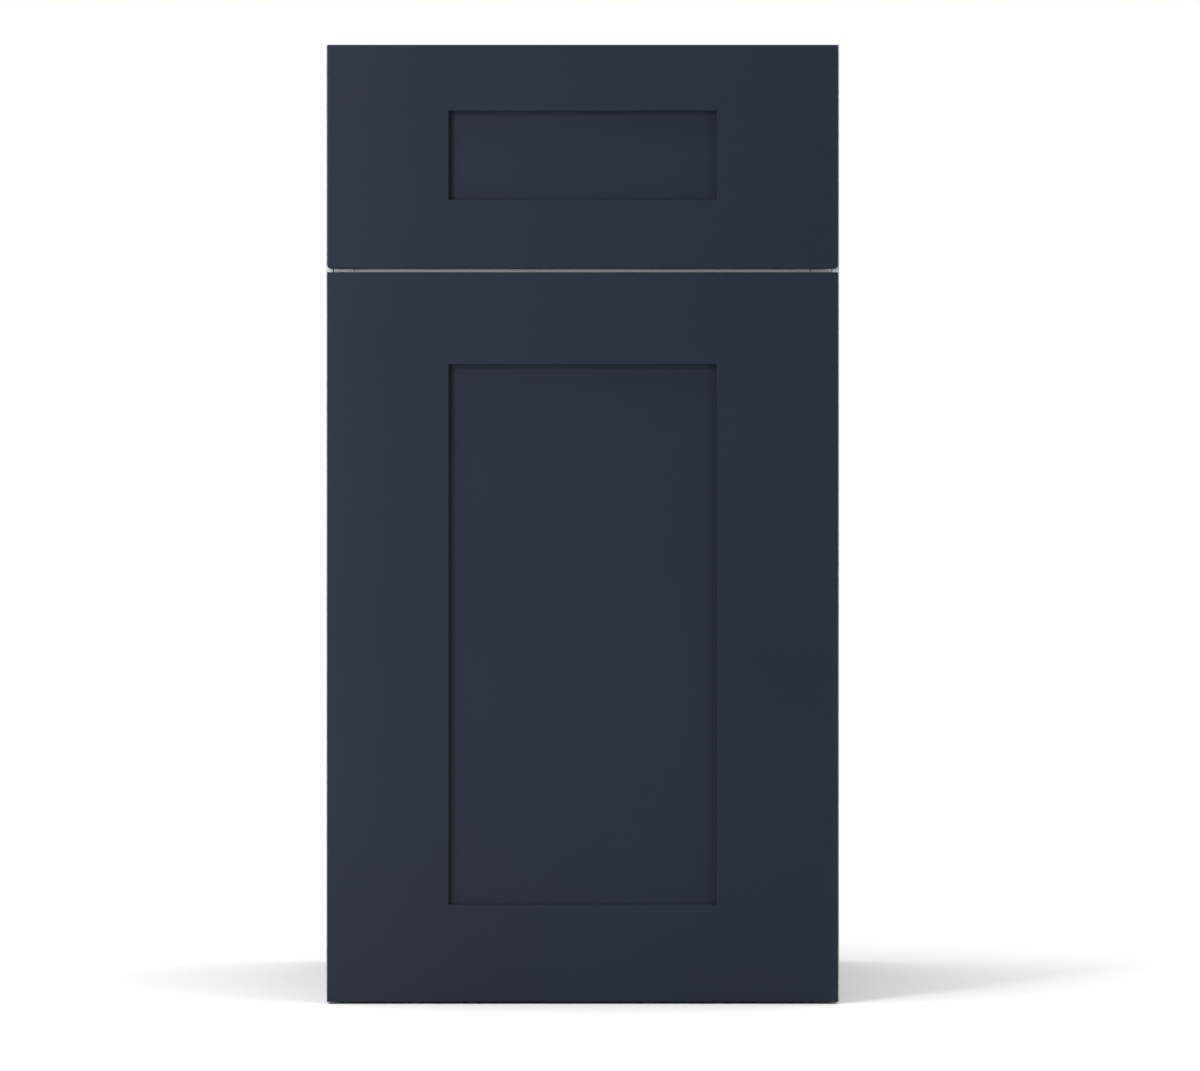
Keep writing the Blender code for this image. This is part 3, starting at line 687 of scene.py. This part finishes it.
springs = spring_tree()
for place in ("lower", "upper"):
    eased(f"hinge_plate_{place}", PLATE_ARRIS, "carcass", "zinc_plate", [ZINC])
    eased(f"hinge_arm_{place}", ARM_ARRIS, "carcass", "nickel_plate", [NICKEL],
          None, lambda edge: 1.0 if edge.calc_length() > SHORT_ARM_EDGE else 0.0)
    eased(f"hinge_cup_{place}", CUP_ARRIS, "door", "nickel_plate", [NICKEL])
    low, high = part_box(f"hinge_cup_{place}")
    level = (low[2] + high[2]) / 2
    for name, offset in (("above", SPRING_OFFSET), ("below", -SPRING_OFFSET)):
        grow(springs, f"hinge_spring_{place}_{name}", "door", "nickel_plate",
             radius=SPRING_RADIUS, wire=SPRING_WIRE, length=SPRING_LENGTH, turns=SPRING_TURNS,
             centre=(PIVOT.x, PIVOT.y, level + offset), material=NICKEL)


# Shelf pins.
# Turned steel pegs with a collar, pushed into the rows of holes. The shelf lies loose on four of
# them, at one of five heights.

PIN_ARRIS = 0.25 * MM

for place in ("front", "rear"):
    for side in ("left", "right"):
        eased(f"shelf_pin_{place}_{side}", PIN_ARRIS, "carcass", "nickel_plate", [NICKEL])


# Screws.
# Zinc-plated wood screws, and nickel-plated machine screws in the hinge arms, all with a cross
# recess. Each head faces out along its screw, and lies where its plate or board is fixed.

ARM_SCREWS_Y = (-182, -207)
PLATE_SCREWS_Y = -201
PLATE_SCREW_REACH = 16
WING_THICKNESS = 2.0 * MM
CUP_SCREW_OFFSET = 9.5 * MM
CUP_SCREW_REACH = 22.5 * MM
SLIDE_SCREWS_Y = (-208, -112, 16, 144, 190)
SLIDE_SCREW_DROP = 9 * MM
SLIDE_FACE_X = (179.5 - 1.7) * MM
DRAWER_SCREWS_X = (-95, 95)
DRAWER_SCREWS_Z = (637, 690)


def screw_tree():
    """Cross-recessed heads on points: each a low cone with a four-armed driver cut from its top."""
    sizes = {"Head": "Float", "Height": "Float", "Material": "Material"}
    tree, given = start_geometry("cross recessed screws", sizes)
    radius = add(tree, "ShaderNodeMath", {0: given["Head"], 1: 0.5}, operation="MULTIPLY").outputs[0]
    crown = add(tree, "ShaderNodeMath", {0: given["Head"], 1: 0.38}, operation="MULTIPLY").outputs[0]
    head = add(tree, "GeometryNodeMeshCone", {
        "Vertices": 24, "Radius Top": crown, "Radius Bottom": radius, "Depth": given["Height"]})
    arm = add(tree, "ShaderNodeMath", {0: given["Head"], 1: 0.28}, operation="MULTIPLY").outputs[0]
    waist = add(tree, "ShaderNodeMath", {0: given["Head"], 1: 0.08}, operation="MULTIPLY").outputs[0]
    star = add(tree, "GeometryNodeCurveStar", {
        "Points": 4, "Inner Radius": waist, "Outer Radius": arm}).outputs[0]
    levels = []
    for share in (0.25, 1.5):
        level = add(tree, "ShaderNodeMath", {0: given["Height"], 1: share}, operation="MULTIPLY")
        levels.append(add(tree, "ShaderNodeCombineXYZ", {2: level.outputs[0]}).outputs[0])
    axis = add(tree, "GeometryNodeCurvePrimitiveLine", {"Start": levels[0], "End": levels[1]}).outputs[0]
    driver = add(tree, "GeometryNodeCurveToMesh", {
        "Curve": axis, "Profile Curve": star, "Fill Caps": True}).outputs[0]
    cut = add(tree, "GeometryNodeMeshBoolean", {"Mesh 1": head.outputs["Mesh"], "Mesh 2": driver},
              operation="DIFFERENCE").outputs[0]
    way = add(tree, "GeometryNodeInputNamedAttribute", {"Name": "way"}, data_type="FLOAT_VECTOR")
    turn = add(tree, "FunctionNodeAlignRotationToVector", {"Vector": way.outputs[0]}, axis="Z")
    placed = add(tree, "GeometryNodeInstanceOnPoints", {
        "Points": given["Geometry"], "Instance": cut, "Rotation": turn.outputs[0]})
    end_geometry(tree, placed.outputs[0])
    return tree


screws = screw_tree()


def drive(name, body, slot, places, way, head, height, material):
    grow(screws, name, body, slot, places, [way] * len(places),
         head=head, height=height, material=material)


for place in ("lower", "upper"):
    low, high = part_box(f"hinge_arm_{place}")
    level = (low[2] + high[2]) / 2
    web = high[0]
    drive(f"hinge_arm_screws_{place}", "carcass", "nickel_plate",
          [(web, y * MM, level) for y in ARM_SCREWS_Y], (1, 0, 0), 7.0 * MM, 1.6 * MM, NICKEL)
    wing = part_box(f"hinge_plate_{place}")[0][0] + WING_THICKNESS
    reach = PLATE_SCREW_REACH * MM
    drive(f"hinge_plate_screws_{place}", "carcass", "zinc_plate",
          [(wing, PLATE_SCREWS_Y * MM, level - reach), (wing, PLATE_SCREWS_Y * MM, level + reach)],
          (1, 0, 0), 8.0 * MM, 1.6 * MM, ZINC)
    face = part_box(f"hinge_cup_{place}")[1][1]
    across = CUP_CENTRE_X + CUP_SCREW_OFFSET
    drive(f"hinge_cup_screws_{place}", "door", "zinc_plate",
          [(across, face, level - CUP_SCREW_REACH), (across, face, level + CUP_SCREW_REACH)],
          (0, 1, 0), 7.0 * MM, 1.2 * MM, ZINC)

for side, sign in (("left", -1), ("right", 1)):
    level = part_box(f"slide_cabinet_member_{side}")[1][2] - SLIDE_SCREW_DROP
    places = [(sign * SLIDE_FACE_X, y * MM, level) for y in SLIDE_SCREWS_Y]
    drive(f"slide_screws_{side}", "carcass", "zinc_plate", places, (-sign, 0, 0),
          7.0 * MM, 1.5 * MM, ZINC)

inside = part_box("drawer_box_front")[1][1]
places = [(x * MM, inside, z * MM) for x in DRAWER_SCREWS_X for z in DRAWER_SCREWS_Z]
drive("drawer_front_screws", "drawer", "zinc_plate", places, (0, 1, 0), 9.0 * MM, 1.6 * MM, ZINC)


# Studio.
# A pale floor under a white surround, a key light high on the left with a low one beside it, a
# fill from the right, a weak one near the floor, and a wide soft light from above.

VIEW_SCALE = 0.7825 * MM
VIEW_LENS = 200.0
VIEW_CENTRE = (13.6 * MM, 366.4 * MM)
FLOOR_HALF = 30.0
FLOOR_DROP = 0.2 * MM


def studio():
    scene = bpy.context.scene
    scene.view_settings.view_transform = "Standard"
    scene.view_settings.look = "None"
    world = bpy.data.worlds.new("white cyclorama")
    world.use_nodes = True
    scene.world = world
    tree = world.node_tree
    tree.nodes.clear()
    seen = add(tree, "ShaderNodeBackground", {"Color": (1, 1, 1, 1), "Strength": 1.0}).outputs[0]
    felt = add(tree, "ShaderNodeBackground", {"Color": (1, 1, 1, 1), "Strength": 0.2}).outputs[0]
    path = add(tree, "ShaderNodeLightPath").outputs["Is Camera Ray"]
    both = add(tree, "ShaderNodeMixShader", {0: path, 1: felt, 2: seen}).outputs[0]
    add(tree, "ShaderNodeOutputWorld", {0: both})

    mesh = bpy.data.meshes.new("studio_floor")
    turns = ((-1, -1), (1, -1), (1, 1), (-1, 1))
    corners = [(x * FLOOR_HALF, y * FLOOR_HALF, -FLOOR_DROP) for x, y in turns]
    mesh.from_pydata(corners, [], [(0, 1, 2, 3)])
    floor = bpy.data.objects.new("studio_floor", mesh)
    scene.collection.objects.link(floor)
    made, tree, shader, point = start_material("pale matt floor")
    cloud = pattern(tree, point, 400.0, detail=2.0)
    pale = blend_colours(tree, cloud, "FCFCFC", "FEFEFE")
    direct = add(tree, "ShaderNodeLightPath").outputs["Is Camera Ray"]
    paint(tree, shader, Base_Color=blend_colours(tree, direct, "969696", pale), Roughness=0.9)
    mesh.materials.append(made)

    lamps = (
        ("key", (-0.85, -1.95, 1.3), (0.0, -0.27, 0.45), (0.3, 0.3), 12.6),
        ("low side", (-0.9, -1.55, 0.574), (0.0, -0.27, 0.574), (0.5, 0.15), 6.8),
        ("fill", (1.5, -1.9, 0.12), (0.0, -0.27, 0.2), (0.6, 0.2), 9.0),
        ("low fill", (-0.6, -1.7, 0.08), (0.0, -0.27, 0.1), (0.6, 0.1), 1.0),
    )
    sky = bpy.data.lights.new("top", "SUN")
    sky.angle = math.radians(70.0)
    sky.energy = 2.9
    scene.collection.objects.link(bpy.data.objects.new("top", sky))
    for name, place, aim, size, power in lamps:
        data = bpy.data.lights.new(name, "AREA")
        data.shape = "RECTANGLE"
        data.size, data.size_y = size
        data.energy = power
        lamp = bpy.data.objects.new(name, data)
        lamp.location = place
        lamp.rotation_euler = (Vector(aim) - Vector(place)).to_track_quat("-Z", "Y").to_euler()
        scene.collection.objects.link(lamp)

    data = bpy.data.cameras.new("front view")
    data.lens = VIEW_LENS
    data.clip_end = 120.0
    camera = bpy.data.objects.new("front view", data)
    distance = 1200 * VIEW_SCALE * VIEW_LENS / data.sensor_width
    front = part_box("door_stile_left")[0][1]
    camera.location = (VIEW_CENTRE[0], front - distance, VIEW_CENTRE[1])
    camera.rotation_euler = (math.pi / 2, 0, 0)
    scene.collection.objects.link(camera)
    scene.camera = camera


studio()
